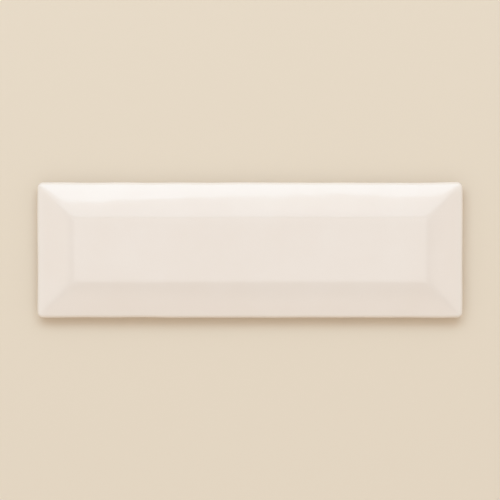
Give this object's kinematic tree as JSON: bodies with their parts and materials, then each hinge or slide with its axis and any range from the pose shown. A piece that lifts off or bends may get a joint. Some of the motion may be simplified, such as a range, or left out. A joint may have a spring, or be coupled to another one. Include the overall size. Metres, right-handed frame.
{
  "type": "bevelled wall tile",
  "caption": "Rectangular glazed ceramic wall tile with a raised flat field inside sloping mitred bevels, and a shallow ribbed back that adhesive grips.",
  "frame": {"origin": "middle of the back, in the plane of the rib crests that the tile rests on", "axes": "+X along the tile's length, +Y up the wall when the tile is hung, +Z out through the glazed face"},
  "size_m": [0.1492, 0.0476, 0.008],
  "materials": {
    "glazed_ceramic": "gloss"
  },
  "bodies": {
    "root": {"wall_tile": "glazed_ceramic"}
  },
  "joints": []
}
